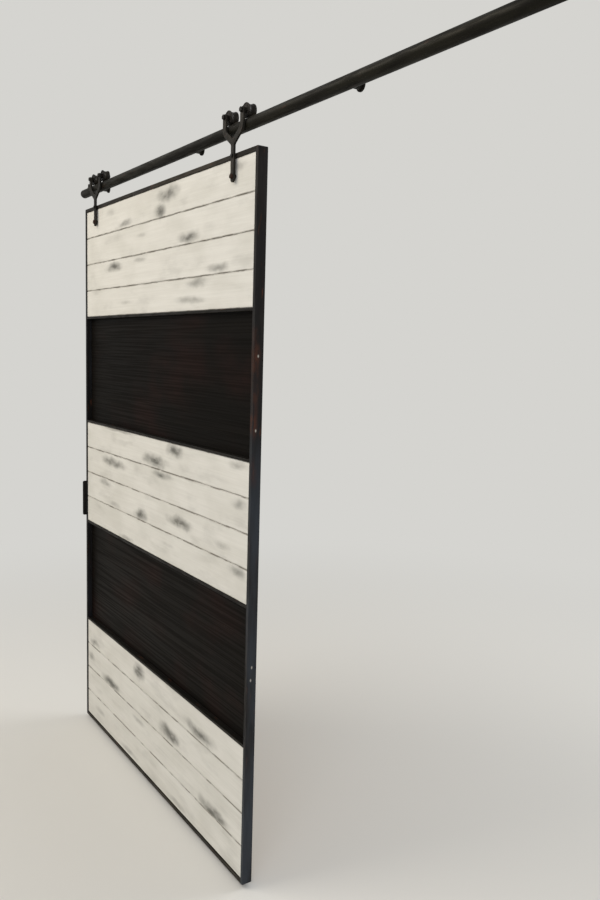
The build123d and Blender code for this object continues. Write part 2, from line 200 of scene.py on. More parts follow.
# %% Where the paint is rubbed
BOARD_MARKS = {
    12: [(776, 18, 150, 44, 0.9), (715, -24, 90, 44, 1.0), (415, -34, 130, 26, 0.75),
         (270, 20, 90, 22, 0.4), (1240, 30, 80, 30, 0.5)],
    11: [(930, -32, 130, 40, 1.0), (560, 12, 90, 16, 0.3)],
    10: [(300, 26, 150, 34, 1.0), (545, 34, 90, 18, 0.5), (1125, -34, 130, 26, 0.7)],
    9: [(988, 32, 150, 30, 0.6), (945, -18, 190, 22, 0.55), (420, -8, 120, 16, 0.3)],
    8: [(840, 26, 110, 40, 1.0), (695, -26, 190, 42, 1.0), (365, 46, 260, 10, 0.55),
        (1270, 34, 90, 26, 0.5)],
    7: [(286, 20, 220, 34, 0.9), (744, 36, 140, 26, 1.0), (1282, 24, 90, 30, 0.6)],
    6: [(218, 34, 150, 26, 0.65), (568, -36, 110, 44, 1.0), (880, 0, 170, 40, 1.0),
        (308, -36, 130, 20, 0.4), (1180, -10, 110, 22, 0.4)],
    5: [(1284, 32, 100, 36, 0.7), (436, -42, 120, 18, 0.5), (800, 10, 100, 14, 0.25)],
    4: [(100, -32, 110, 30, 0.7), (558, 8, 90, 60, 1.0), (1055, -26, 210, 40, 1.0)],
    3: [(50, 4, 80, 34, 0.7), (280, -38, 190, 34, 1.0), (833, -16, 140, 52, 1.0)],
    2: [(1160, -36, 190, 42, 1.0), (560, 24, 110, 20, 0.45)],
    1: [(152, 4, 110, 22, 0.4), (470, -30, 140, 22, 0.5), (885, -34, 130, 22, 0.45)],
}
BOARD_FACE_MM = 103.4
JOINT_GRIME_MM = 5
door_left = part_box("frame_stile_left")[0].x
print(sum(len(marks) for marks in BOARD_MARKS.values()), "marks on", len(BOARD_MARKS), "boards")


# %% Rubbed white paint on pine
def painted_board(number):
    """Chalky white paint on pine: matt, with grain, soft grey smudges and grimy joints."""
    material, tree, shader, place = start_material(f"Rubbed white paint on pine {number:02d}")
    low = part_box(f"board_{number:02d}")[0]
    middle = low.z + BOARD_FACE_MM / 2 * MM
    grain = patches(tree, place, 3.2, 0.30, 0.72, stretch=(60, 4, 1), shift=number * 0.37, detail=5)
    brush = patches(tree, place, 9, 0.35, 0.70, stretch=(26, 4, 1), shift=number * 0.61)
    cloud = patches(tree, place, 130, 0.35, 0.72, stretch=(1.6, 1, 0.7), shift=number * 0.83)
    smudge = 0.0
    for left, above, length, height, strength in BOARD_MARKS[number]:
        centre = (door_left / MM + left, 0, middle / MM + above)
        smudge = larger(tree, smudge, mark(tree, place, centre, (length, 0, height), strength))
    broken = patches(tree, place, 15, 0.30, 0.66, stretch=(2.5, 1, 1), shift=number * 0.19,
                     detail=5)
    smudge = times(tree, smudge, slope(tree, broken, 0, 1, 0.68, 1.0))
    haze = patches(tree, place, 60, 0.52, 0.74, stretch=(2.5, 1, 0.8), shift=number * 0.29,
                   detail=5)
    smudge = larger(tree, smudge, times(tree, haze, 0.16))
    height = add(tree, "ShaderNodeSeparateXYZ", {"Vector": place}).outputs["Z"]
    offset = add(tree, "ShaderNodeMath", {0: height, 1: middle}, operation="SUBTRACT")
    from_middle = add(tree, "ShaderNodeMath", {0: offset.outputs[0]}, operation="ABSOLUTE")
    joint = slope(tree, from_middle.outputs[0], (BOARD_FACE_MM / 2 - JOINT_GRIME_MM) * MM,
                  BOARD_FACE_MM / 2 * MM)
    chipped = patches(tree, place, 22, 0.42, 0.60, stretch=(3, 1, 1), shift=number * 0.47)
    joint = times(tree, joint, slope(tree, chipped, 0, 1, 0.25, 0.85))
    colour = blend(tree, cloud, tone("#DFDDD6"), tone("#D3D1C9"))
    colour = blend(tree, times(tree, brush, 0.18), colour, tone("#C3C0B7"))
    colour = blend(tree, times(tree, grain, 0.11), colour, tone("#AEAA9F"))
    colour = blend(tree, smudge, colour, tone("#64635D"))
    colour = blend(tree, joint, colour, tone("#655E52"))
    tree.links.new(colour, shader.inputs["Base Color"])
    shader.inputs["Roughness"].default_value = 0.62
    shader.inputs["Specular IOR Level"].default_value = 0.35
    roughen(tree, shader, larger(tree, grain, brush), 0.15)
    return material


for number in BOARD_MARKS:
    nodes[f"board_{number:02d}"].material_slots[0].material = painted_board(number)
print("boards painted")

# %% [markdown]
# The frame is mild steel flat bar with a dark patina under wax: nearly black brown, with cool
# blue-grey clouds where the mill scale shows and rust where the wax has worn through. The marks run
# along each bar, so upright and level bars differ only in the way the pattern is stretched. Rust
# sits on the right stile: a run of it at shoulder height, and less below.

# %% Waxed dark steel
def dark_steel(name, dark, light, stretch, light_share=0.55, rust_share=0.6, roughness=0.50,
               edge="#5B5852", shift=0.0, shine=0.16):
    """Waxed steel with a patina: lighter clouds, fine streaks, a little rust and worn edges."""
    material, tree, shader, place = start_material(name)
    clouds = patches(tree, place, 34, 0.38, 0.66, stretch=stretch, shift=shift, detail=5)
    streaks = patches(tree, place, 4, 0.36, 0.70, stretch=[part * 2 for part in stretch],
                      shift=shift + 0.4)
    specks = patches(tree, place, 9, 0.62, 0.74, stretch=stretch, shift=shift + 0.9, detail=8)
    rubbed = patches(tree, place, 15, 0.35, 0.65, stretch=stretch, shift=shift + 1.7)
    colour = blend(tree, times(tree, clouds, light_share), tone(dark), tone(light))
    colour = blend(tree, times(tree, streaks, 0.45), colour, tone("#100E0C"))
    colour = blend(tree, times(tree, specks, rust_share), colour, tone("#5A3320"))
    polished = times(tree, worn_edges(tree, 1.1), times(tree, rubbed, 0.7))
    colour = blend(tree, polished, colour, tone(edge))
    tree.links.new(colour, shader.inputs["Base Color"])
    shader.inputs["Metallic"].default_value = 0.25
    shader.inputs["Specular IOR Level"].default_value = shine
    worn = slope(tree, streaks, 0, 1, roughness - 0.06, roughness + 0.14)
    tree.links.new(worn, shader.inputs["Roughness"])
    roughen(tree, shader, streaks, 0.12)
    return material


def recolour(material, mask_of, shade):
    """Lay one more colour over a finished material where a mask says so."""
    tree = material.node_tree
    shader = tree.nodes["Principled BSDF"]
    place = tree.nodes["Texture Coordinate"].outputs["Object"]
    under = shader.inputs["Base Color"].links[0].from_socket
    colour = blend(tree, mask_of(tree, place), under, tone(shade))
    tree.links.new(colour, shader.inputs["Base Color"])


upright, level = (1, 1, 7), (7, 1, 1)
plain_stile = dark_steel("Waxed mild steel upright", "#1C1A18", "#30333A", upright)
bar_steel = dark_steel("Waxed mild steel level", "#201C17", "#3B3427", level)
divider_steel = dark_steel("Waxed mild steel divider", "#171513", "#2B2823", level, light_share=0.4)
nodes["frame_stile_left"].material_slots[0].material = plain_stile
for name in ("frame_bar_top", "frame_bar_bottom"):
    nodes[name].material_slots[0].material = bar_steel
for name in nodes:
    if name.startswith("divider"):
        nodes[name].material_slots[0].material = divider_steel
nodes["edge_pull"].material_slots[0].material = dark_steel(
    "Blackened steel plate", "#191716", "#2C2927", upright, rust_share=0.2, shift=1.3)
print("frame finished")

# %% [markdown]
# The right stile shows its whole side to the eye, so it gets its own finish: brown black above,
# blue grey lower down, where the patina clouds carry a painted reflection of the light on the
# side, and two runs of rust at shoulder height with small whitish spots. Heights are measured up
# from the bottom of the door.

# %% Patina, painted reflection and rust of the right stile
right_stile = dark_steel("Waxed mild steel with patination and painted reflection", "#1D1A18", "#2D2A28", upright, shift=0.8)
side_low, side_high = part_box("frame_stile_right")
PATINA_AND_REFLECTION_TOP_MM, PATINA_AND_REFLECTION_FULL_MM = 1560, 1080
RUST_RUNS = [(1560, 150, 0.6), (1470, 120, 0.4), (1385, 110, 0.65), (1240, 80, 0.25)]
WHITISH_SPOTS = [(1573, 14), (1365, 12), (676, 16), (638, 13)]


def patina_and_reflection(tree, place):
    """Blue-grey clouds, none at the top and many below: patina, with a painted reflection of the
    light that pales the lower side.
    """
    height = add(tree, "ShaderNodeSeparateXYZ", {"Vector": place}).outputs["Z"]
    share = slope(tree, height, side_low.z + PATINA_AND_REFLECTION_TOP_MM * MM,
                  side_low.z + PATINA_AND_REFLECTION_FULL_MM * MM, 0.1, 0.85)
    return times(tree, share, patches(tree, place, 60, 0.30, 0.62, stretch=upright, shift=2.6))


def rust(tree, place):
    """Runs of rust beside the front edge."""
    runs = 0.0
    for height, length, strength in RUST_RUNS:
        centre = (side_high.x / MM - 2, side_low.y / MM + 6, side_low.z / MM + height)
        runs = larger(tree, runs, mark(tree, place, centre, (34, 26, length), strength))
    broken = patches(tree, place, 12, 0.35, 0.60, stretch=(1, 1, 4))
    return times(tree, runs, slope(tree, broken, 0, 1, 0.2, 1.0))


def whitish(tree, place):
    """Small whitish spots on the side."""
    spots = 0.0
    for height, behind in WHITISH_SPOTS:
        centre = (side_high.x / MM, side_low.y / MM + behind, side_low.z / MM + height)
        spots = larger(tree, spots, mark(tree, place, centre, (6, 5, 9)))
    return spots


# Blue-grey patina with a painted reflection, stronger towards the bottom of the side.
recolour(right_stile, patina_and_reflection, "#393E45")
recolour(right_stile, rust, "#5A3526")
# Small whitish spots on the side face.
recolour(right_stile, whitish, "#B9B5AC")
nodes["frame_stile_right"].material_slots[0].material = right_stile
print(len(RUST_RUNS), "runs of rust,", len(WHITISH_SPOTS), "bare spots")

# %% [markdown]
# The panels are thin sheet steel, blackened and oiled. Rolling leaves fine lines along the sheet,
# which catch the light at the right, and the oil dries to a brown black with a hint of red.

# %% Blackened sheet
def blackened_sheet(number):
    """Blackened rolled sheet: brown black, satin, with fine level lines."""
    material, tree, shader, place = start_material(f"Blackened sheet steel {number}")
    lines = patches(tree, place, 5.5, 0.36, 0.66, stretch=(80, 4, 1), shift=number * 0.7, detail=2)
    bands = patches(tree, place, 26, 0.35, 0.68, stretch=(22, 2, 1), shift=number * 0.3)
    warm = patches(tree, place, 210, 0.46, 0.74, stretch=(1.5, 1, 1), shift=number * 0.9)
    colour = blend(tree, times(tree, bands, 0.4), tone("#110F0D"), tone("#181512"))
    colour = blend(tree, times(tree, warm, 0.5), colour, tone("#2A1714"))
    colour = blend(tree, times(tree, lines, 0.4), colour, tone("#0B0A08"))
    tree.links.new(colour, shader.inputs["Base Color"])
    shader.inputs["Specular IOR Level"].default_value = 0.03
    tree.links.new(slope(tree, lines, 0, 1, 0.42, 0.60), shader.inputs["Roughness"])
    roughen(tree, shader, lines, 0.2)
    return material


for number in (1, 2):
    nodes[f"panel_{number}"].material_slots[0].material = blackened_sheet(number)
print("panels finished")

# %% [markdown]
# The rail is plain black pipe, rubbed with oil: dark olive brown, with paler scuffs along its
# length. A pale band runs along its top: partly the line that the wheels have worn, partly a
# painted highlight of the light falling on the tube's top. The hangers are cut from hot-rolled
# flat steel and keep a warmer, greyer scale. The standoffs, caps and pegs are like the rail,
# without the band.

# %% Rail and hanger steel
along_the_rail = (8, 1, 1)
rail_steel = dark_steel("Oiled black pipe", "#171612", "#302E24", along_the_rail,
                        light_share=0.5, rust_share=0.25, roughness=0.42, shift=2.2)
tube_steel_with_highlight = dark_steel("Oiled black pipe with a worn line and painted highlight", "#151410", "#2B2920",
                        along_the_rail, light_share=0.5, rust_share=0.2, roughness=0.44,
                        shift=2.2, shine=0.08)
rail_low, rail_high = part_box("rail_tube")


def worn_line_and_highlight(tree, place):
    """Band along the top of the tube, narrow and ragged: wear where the wheels roll, with a painted
    highlight of the light on the top.
    """
    height = add(tree, "ShaderNodeSeparateXYZ", {"Vector": place}).outputs["Z"]
    band = slope(tree, height, rail_high.z * 0.70, rail_high.z * 0.97)
    ragged = patches(tree, place, 18, 0.30, 0.62, stretch=(9, 1, 1))
    return times(tree, band, slope(tree, ragged, 0, 1, 0.55, 1.0))


# The pale band on the tube's top is partly worn steel and partly a painted highlight.
recolour(tube_steel_with_highlight, worn_line_and_highlight, "#8C877A")
hanger_steel = dark_steel("Hot-rolled flat steel", "#1A1815", "#332F28", (1, 1, 2), light_share=0.6,
                          rust_share=0.45, roughness=0.46, shift=3.1)
nodes["rail_tube"].material_slots[0].material = tube_steel_with_highlight
for name in ("rail_caps", "stop_pegs", "standoffs"):
    nodes[name].material_slots[0].material = rail_steel
for name in ("hanger_fork_left", "hanger_fork_right", "hanger_spacers_top",
             "hanger_spacers_foot", "axle_sleeves"):
    nodes[name].material_slots[0].material = hanger_steel
print("rail and hangers finished")

# %% [markdown]
# Bolts are black oxide steel, a little shinier than the bars. The two lower bolts have begun to
# rust and look red-brown. The wheels are turned from steel bar and blackened, and the rail has
# polished the groove, so the groove gets a brighter steel of its own.

# %% Bolt and wheel steel
plain = (1, 1, 1)
bolt_steel = dark_steel("Black oxide bolt steel", "#151311", "#2A2724", plain,
                        light_share=0.4, rust_share=0.25, roughness=0.40, shift=4.4)
rusty_steel = dark_steel("Rusted bolt steel", "#2E1F18", "#45332A", plain,
                         light_share=0.5, rust_share=0.9, roughness=0.66, edge="#6B4A38",
                         shift=5.2)
wheel_steel = dark_steel("Blackened turned steel", "#141210", "#26221D", plain,
                         light_share=0.45, rust_share=0.35, roughness=0.44, shift=6.3)
groove_steel = dark_steel("Polished groove steel", "#211E1A", "#39352D", plain,
                          light_share=0.6, rust_share=0.2, roughness=0.36, shift=7.1)
print("bolt and wheel steels ready")

# %% [markdown]
# Behind the boards are two sheets of birch plywood. The face veneer is pale and warm, with a long
# lazy grain and a few darker streaks. It is only seen from behind, but a door is seen from there
# too.

# %% Birch plywood
def birch_plywood(number):
    """Unfinished birch veneer: warm, matt, with long soft grain."""
    material, tree, shader, place = start_material(f"Birch plywood {number}")
    figure = patches(tree, place, 24, 0.32, 0.70, stretch=(14, 1, 1), shift=number * 1.7, detail=5)
    grain = patches(tree, place, 2.6, 0.34, 0.70, stretch=(70, 1, 1), shift=number * 0.9)
    stain = patches(tree, place, 260, 0.50, 0.76, stretch=(2, 1, 1), shift=number * 2.3)
    colour = blend(tree, times(tree, figure, 0.6), tone("#B89A72"), tone("#A17F57"))
    colour = blend(tree, times(tree, grain, 0.4), colour, tone("#866644"))
    colour = blend(tree, times(tree, stain, 0.35), colour, tone("#7C6246"))
    tree.links.new(colour, shader.inputs["Base Color"])
    shader.inputs["Roughness"].default_value = 0.68
    roughen(tree, shader, grain, 0.15)
    return material


for number in (1, 2):
    nodes[f"backing_board_{number}"].material_slots[0].material = birch_plywood(number)
print("plywood finished")

# %% [markdown]
# New pieces are modelled with the tools a modeller uses by hand. These short helpers only save
# typing: one clears the selection, one picks faces by a test, one fixes a finished piece's place in
# its mesh, and one copies a piece to another place with its own mesh.

# %% Modelling helpers
TOUCH = 0.1 * MM


def nothing_selected():
    """Clear the selection, because a tool acts on all that is selected."""
    bpy.ops.object.select_all(action="DESELECT")


def pick(obj, kind, test):
    """In edit mode, select only the faces, edges or points whose centre passes a test."""
    bpy.ops.mesh.select_mode(type=kind)
    bpy.ops.mesh.select_all(action="DESELECT")
    bpy.ops.object.mode_set(mode="OBJECT")
    mesh = obj.data
    points = mesh.vertices
    chosen = {"FACE": mesh.polygons, "EDGE": mesh.edges, "VERT": mesh.vertices}[kind]
    for part in chosen:
        if kind == "VERT":
            centre = part.co
        else:
            corners = [points[index].co for index in part.vertices]
            centre = sum(corners, Vector()) / len(corners)
        part.select = test(centre)
    bpy.ops.object.mode_set(mode="EDIT")


def settle(obj, name, material, angle=35):
    """Name a finished piece, fix its place in its mesh, smooth it by angle and give it a finish."""
    nothing_selected()
    obj.select_set(True)
    bpy.context.view_layer.objects.active = obj
    for modifier in list(obj.modifiers):
        bpy.ops.object.modifier_apply(modifier=modifier.name)
    bpy.ops.object.transform_apply(location=True, rotation=True, scale=True)
    bpy.ops.object.shade_smooth_by_angle(angle=radians(angle))
    obj.name = name
    obj.data.name = name
    if not obj.data.materials:
        obj.data.materials.append(material)
    return obj


def copy_to(obj, name, offset):
    """Second piece like the first, with its own mesh, moved by an offset."""
    twin = obj.copy()
    twin.data = obj.data.copy()
    twin.name = name
    twin.data.transform(Matrix.Translation(offset))
    bpy.context.scene.collection.objects.link(twin)
    return twin


def joined(pieces, name):
    """Several pieces made one object."""
    nothing_selected()
    for piece in pieces:
        piece.select_set(True)
    bpy.context.view_layer.objects.active = pieces[0]
    bpy.ops.object.join()
    pieces[0].name = name
    pieces[0].data.name = name
    return pieces[0]


print("helpers ready")

# %% [markdown]
# A hex head is a six-sided cylinder. Its outer face is inset and pushed out a little, which leaves
# the slope that a real head has round its top, and a thin round washer face lies under it.
# All bolts of this object point along Y, with the head towards the viewer.

# %% A hex head
HEAD_SLOPE_SHARE, HEAD_TOP_SHARE = 0.14, 0.87
HEAD_INSET_SHARE, HEAD_EDGE_MM = 0.02, 0.25


def hex_head(name, x, seat, z, across_mm, height_mm, forward, material):
    """Hex head or nut on a seat plane. Forward is -1 for heads that face the viewer."""
    nothing_selected()
    corner = across_mm * MM / 2 / cos(pi / 6)
    depth = height_mm * MM
    rise = depth * HEAD_SLOPE_SHARE
    bpy.ops.mesh.primitive_cylinder_add(vertices=6, radius=corner, depth=depth - rise,
                                        location=(x, seat + forward * (depth - rise) / 2, z),
                                        rotation=(radians(90), 0, 0))
    head = bpy.context.object
    bpy.ops.object.transform_apply(location=True, rotation=True, scale=True)
    bpy.ops.object.mode_set(mode="EDIT")
    outer = max(abs(vertex.co.y - seat) for vertex in head.data.vertices)
    pick(head, "FACE", lambda centre: abs(abs(centre.y - seat) - outer) < TOUCH)
    bpy.ops.mesh.extrude_region_move(TRANSFORM_OT_translate={"value": (0, forward * rise, 0)})
    bpy.ops.transform.resize(value=(HEAD_TOP_SHARE, 1, HEAD_TOP_SHARE))
    bpy.ops.mesh.inset(thickness=HEAD_INSET_SHARE * corner)
    bpy.ops.object.mode_set(mode="OBJECT")
    bpy.ops.object.modifier_add(type="BEVEL")
    head.modifiers[-1].width = HEAD_EDGE_MM * MM
    head.modifiers[-1].segments = 2
    return settle(head, name, material)


def round_bar(name, x, front, back, z, diameter_mm, material, edge_mm=0.4):
    """Short round piece along Y with a broken edge: a washer, a bolt's tip or a screw head."""
    nothing_selected()
    bpy.ops.mesh.primitive_cylinder_add(vertices=40, radius=diameter_mm * MM / 2,
                                        depth=back - front,
                                        location=(x, (front + back) / 2, z),
                                        rotation=(radians(90), 0, 0))
    bar = bpy.context.object
    bpy.ops.object.modifier_add(type="BEVEL")
    bar.modifiers[-1].width = edge_mm * MM
    bar.modifiers[-1].segments = 2
    return settle(bar, name, material)


print("bolt parts can be made")

# %% [markdown]
# The four axle bolts are alike, so one is modelled with its washer and its nut, and three copies
# go to the other wheels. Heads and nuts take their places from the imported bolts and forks.

# %% Axle bolts and nuts
WHEEL_NUMBERS = (1, 2, 3, 4)
wheel_centres = [sum(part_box(f"wheel_{number}"), Vector()) / 2 for number in WHEEL_NUMBERS]
fork_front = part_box("hanger_fork_left")[0].y
nut_front, nut_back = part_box("axle_nuts")[0].y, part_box("axle_nuts")[1].y
bolt_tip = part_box("axle_bolts")[1].y
first = wheel_centres[0]
AXLE_ACROSS_MM, AXLE_HEAD_MM, AXLE_MM = 13, 4.5, 8
AXLE_NUT_MM = (nut_back - nut_front) / MM
AXLE_WASHER_MM, AXLE_WASHER_THICK_MM, WASHER_EDGE_MM = 16, 0.8, 0.2
axle_seat = fork_front - AXLE_WASHER_THICK_MM * MM
axle_parts = [
    round_bar("axle washer", first.x, axle_seat, fork_front, first.z, AXLE_WASHER_MM, bolt_steel,
              WASHER_EDGE_MM),
    hex_head("axle head", first.x, axle_seat, first.z, AXLE_ACROSS_MM, AXLE_HEAD_MM, -1,
             bolt_steel),
    hex_head("axle nut", first.x, nut_front, first.z, AXLE_ACROSS_MM, AXLE_NUT_MM, 1, bolt_steel),
    round_bar("axle shank", first.x, fork_front, bolt_tip, first.z, AXLE_MM, bolt_steel, 0.6),
]
axle_set = joined(axle_parts, "Axle_Bolt_1")
axle_sets = [axle_set] + [
    copy_to(axle_set, f"Axle_Bolt_{number}", wheel_centres[number - 1] - first)
    for number in WHEEL_NUMBERS[1:]]
for piece in axle_sets:
    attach(piece, "door")
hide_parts("axle_bolts", "axle_nuts")
print(len(axle_sets), "axle bolts with", len(axle_set.data.polygons), "faces each")

# %% [markdown]
# Each hanger has two more bolts: a small one into the top bar, and a large one low on the stem that
# goes right through the door. The large one is rusty, with a washer under its head.

# %% Hanger bolts
hanger_xs = [(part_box(f"hanger_fork_{side}")[0].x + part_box(f"hanger_fork_{side}")[1].x) / 2
             for side in ("left", "right")]
top_low, top_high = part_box("hanger_screws_top")
foot_low, foot_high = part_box("hanger_bolts_foot")
nut_low, nut_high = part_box("hanger_nuts_foot")
top_z, foot_z = (top_low.z + top_high.z) / 2, (foot_low.z + foot_high.z) / 2
TOP_ACROSS_MM, TOP_HEAD_MM, TOP_MM = 10, 3.4, 6
TOP_WASHER_MM, TOP_WASHER_THICK_MM = 12, 0.6
FOOT_ACROSS_MM, FOOT_HEAD_MM, FOOT_MM = 13, 4.5, 8
FOOT_WASHER_MM, FOOT_WASHER_THICK_MM = 15, 0.8
FLANGE_MM, FLANGE_THICK_MM = 18, 1.6
NUT_BODY_MM = (nut_high.y - nut_low.y) / MM - FLANGE_THICK_MM
top_seat = fork_front - TOP_WASHER_THICK_MM * MM
foot_seat = fork_front - FOOT_WASHER_THICK_MM * MM
nut_seat = nut_low.y + FLANGE_THICK_MM * MM
for side, x in zip(("Left", "Right"), hanger_xs):
    top = joined([
        round_bar("top washer", x, top_seat, fork_front, top_z, TOP_WASHER_MM, bolt_steel,
                  WASHER_EDGE_MM),
        hex_head("top head", x, top_seat, top_z, TOP_ACROSS_MM, TOP_HEAD_MM, -1, bolt_steel),
        round_bar("top shank", x, fork_front, top_high.y, top_z, TOP_MM, bolt_steel, 0.5),
    ], f"Hanger_Top_Screw_{side}")
    foot = joined([
        round_bar("foot washer", x, foot_seat, fork_front, foot_z, FOOT_WASHER_MM,
                  rusty_steel, WASHER_EDGE_MM),
        hex_head("foot head", x, foot_seat, foot_z, FOOT_ACROSS_MM, FOOT_HEAD_MM, -1, rusty_steel),
        round_bar("foot shank", x, fork_front, foot_high.y, foot_z, FOOT_MM, rusty_steel, 0.8),
    ], f"Hanger_Foot_Bolt_{side}")
    nut = joined([
        round_bar("nut flange", x, nut_low.y, nut_seat, foot_z, FLANGE_MM, bolt_steel),
        hex_head("nut body", x, nut_seat, foot_z, FOOT_ACROSS_MM, NUT_BODY_MM, 1, bolt_steel),
    ], f"Hanger_Foot_Nut_{side}")
    for piece, slot in ((top, "fastener_steel"), (foot, "rusty_fastener"),
                        (nut, "fastener_steel")):
        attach(piece, "door")
    if side == "Left":
        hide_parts("hanger_screws_top")
        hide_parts("hanger_bolts_foot")
        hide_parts("hanger_nuts_foot")
print("hanger bolts at", [round(x, 3) for x in hanger_xs])

# %% [markdown]
# A grooved wheel is turned on a lathe: a disc with a round groove that fits the pipe. Here a torus
# as thick as the pipe is taken out of a disc with a Boolean modifier, its axis in the disc's axis.
# The rims and the hub's shallow face recess are then bevelled, and three copies are made.

# %% Turned wheels
wheel_low, wheel_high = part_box("wheel_1")
wheel_radius = (wheel_high.z - wheel_low.z) / 2
wheel_width = wheel_high.y - wheel_low.y
rail_radius = (rail_high.z - rail_low.z) / 2
axle_above_rail = first.z
GROOVE_PLAY_MM, BORE_PLAY_MM, WHEEL_EDGE_MM = 0.3, 0.05, 0.35
RIM_MM, RECESS_MM, RECESS_WALL_MM, RECESS_DEPTH_MM = 2.6, 4.0, 0.6, 1.2
nothing_selected()
bpy.ops.mesh.primitive_cylinder_add(vertices=96, radius=wheel_radius, depth=wheel_width,
                                    location=first, rotation=(radians(90), 0, 0))
disc = bpy.context.object
bpy.ops.object.transform_apply(location=True, rotation=True, scale=True)
bpy.ops.object.mode_set(mode="EDIT")
pick(disc, "FACE", lambda centre: abs(abs(centre.y - first.y) - wheel_width / 2) < TOUCH)
bpy.ops.mesh.inset(thickness=RIM_MM * MM)
bpy.ops.mesh.inset(thickness=RECESS_WALL_MM * MM, depth=-RECESS_DEPTH_MM * MM)
bpy.ops.mesh.inset(thickness=RECESS_MM * MM)
bpy.ops.mesh.inset(thickness=RECESS_WALL_MM * MM, depth=RECESS_DEPTH_MM * MM)
bpy.ops.object.mode_set(mode="OBJECT")
disc.data.materials.append(wheel_steel)
disc.data.materials.append(groove_steel)


def take_out(body, tool, shade):
    """Cut a tool out of a body. The cut faces take one of the body's materials by its number."""
    tool.data.materials.append(wheel_steel)
    tool.data.materials.append(groove_steel)
    for face in tool.data.polygons:
        face.material_index = shade
    cut = body.modifiers.new("cut", "BOOLEAN")
    cut.object = tool
    cut.solver = "EXACT"
    nothing_selected()
    body.select_set(True)
    bpy.context.view_layer.objects.active = body
    bpy.ops.object.modifier_apply(modifier="cut")
    bpy.data.objects.remove(tool)


nothing_selected()
bpy.ops.mesh.primitive_torus_add(major_radius=axle_above_rail,
                                 minor_radius=rail_radius + GROOVE_PLAY_MM * MM,
                                 major_segments=96, minor_segments=64, location=first,
                                 rotation=(radians(90), 0, 0))
take_out(disc, bpy.context.object, 1)
nothing_selected()
bpy.ops.mesh.primitive_cylinder_add(vertices=48, radius=(AXLE_MM / 2 + BORE_PLAY_MM) * MM,
                                    depth=2 * wheel_width, location=first,
                                    rotation=(radians(90), 0, 0))
take_out(disc, bpy.context.object, 0)
bpy.ops.object.modifier_add(type="BEVEL")
disc.modifiers[-1].width = WHEEL_EDGE_MM * MM
disc.modifiers[-1].segments = 2
disc.modifiers[-1].angle_limit = radians(40)
settle(disc, "Wheel_1", wheel_steel)
wheels = [disc] + [copy_to(disc, f"Wheel_{number}", wheel_centres[number - 1] - first)
                   for number in WHEEL_NUMBERS[1:]]
for number, piece in enumerate(wheels, 1):
    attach(piece, f"wheel_set_{number}")
    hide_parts(f"wheel_{number}")
print("wheel", round(wheel_radius / MM, 1), "mm radius,", len(disc.data.polygons), "faces")

# %% [markdown]
# The rail's ends are closed by caps with a softly rounded crown. A short cylinder with a wide bevel
# on its outer rim gives that roundness.

# %% Rail caps
cap_low, cap_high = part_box("rail_caps")
rail_y = (rail_low.y + rail_high.y) / 2
CAP_CROWN_MM = 5.2
for side, name in ((-1, "Left"), (1, "Right")):
    face = rail_high.x if side > 0 else rail_low.x
    tip = cap_high.x if side > 0 else cap_low.x
    nothing_selected()
    bpy.ops.mesh.primitive_cylinder_add(vertices=64, radius=rail_radius, depth=abs(tip - face),
                                        location=((face + tip) / 2, rail_y, 0),
                                        rotation=(0, radians(90), 0))
    cap = bpy.context.object
    bpy.ops.object.transform_apply(location=True, rotation=True, scale=True)
    bpy.ops.object.mode_set(mode="EDIT")
    pick(cap, "EDGE", lambda centre: abs(centre.x - tip) < TOUCH)
    bpy.ops.mesh.bevel(offset=CAP_CROWN_MM * MM, segments=7, profile=0.5)
    bpy.ops.object.mode_set(mode="OBJECT")
    cap = settle(cap, f"Rail_Cap_{name}", rail_steel, 50)
    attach(cap, "rail")
    if side < 0:
        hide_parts("rail_caps")
print("caps", round(abs(tip - face) / MM, 1), "mm long")

# %% [markdown]
# Pegs are welded to the pipe. A weld bead is a small ring, thicker than it looks at first, that
# sinks into both pieces. Its ripples come from a coarse ring rather than from a texture.

# %% Weld beads round the pegs
peg_low, peg_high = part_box("stop_pegs")
PEG_MM = 12
BEAD_MM, BEAD_BESIDE_PEG_MM, BEAD_SUNK_MM = 1.5, 0.4, 0.6
for side, name in ((-1, "Left"), (1, "Right")):
    outer = peg_high.x if side > 0 else peg_low.x
    x = outer - side * PEG_MM * MM / 2
    nothing_selected()
    bpy.ops.mesh.primitive_torus_add(major_radius=(PEG_MM / 2 + BEAD_BESIDE_PEG_MM) * MM,
                                     minor_radius=BEAD_MM * MM,
                                     major_segments=28, minor_segments=12,
                                     location=(x, rail_y, rail_radius - BEAD_SUNK_MM * MM))
    bead = settle(bpy.context.object, f"Peg_Weld_{name}", rail_steel, 60)
    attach(bead, "rail")
print("pegs at", round(peg_low.x, 3), round(peg_high.x, 3))

# %% [markdown]
# Small screws hold what bolts do not. Pan heads with a cross recess hold the plywood to the boards,
# four to a board. A texture could draw them, but from behind they stand proud and catch the light,
# so one head is modelled: a flattened dome with a cross pressed into it. Its copies are joined in
# one piece.

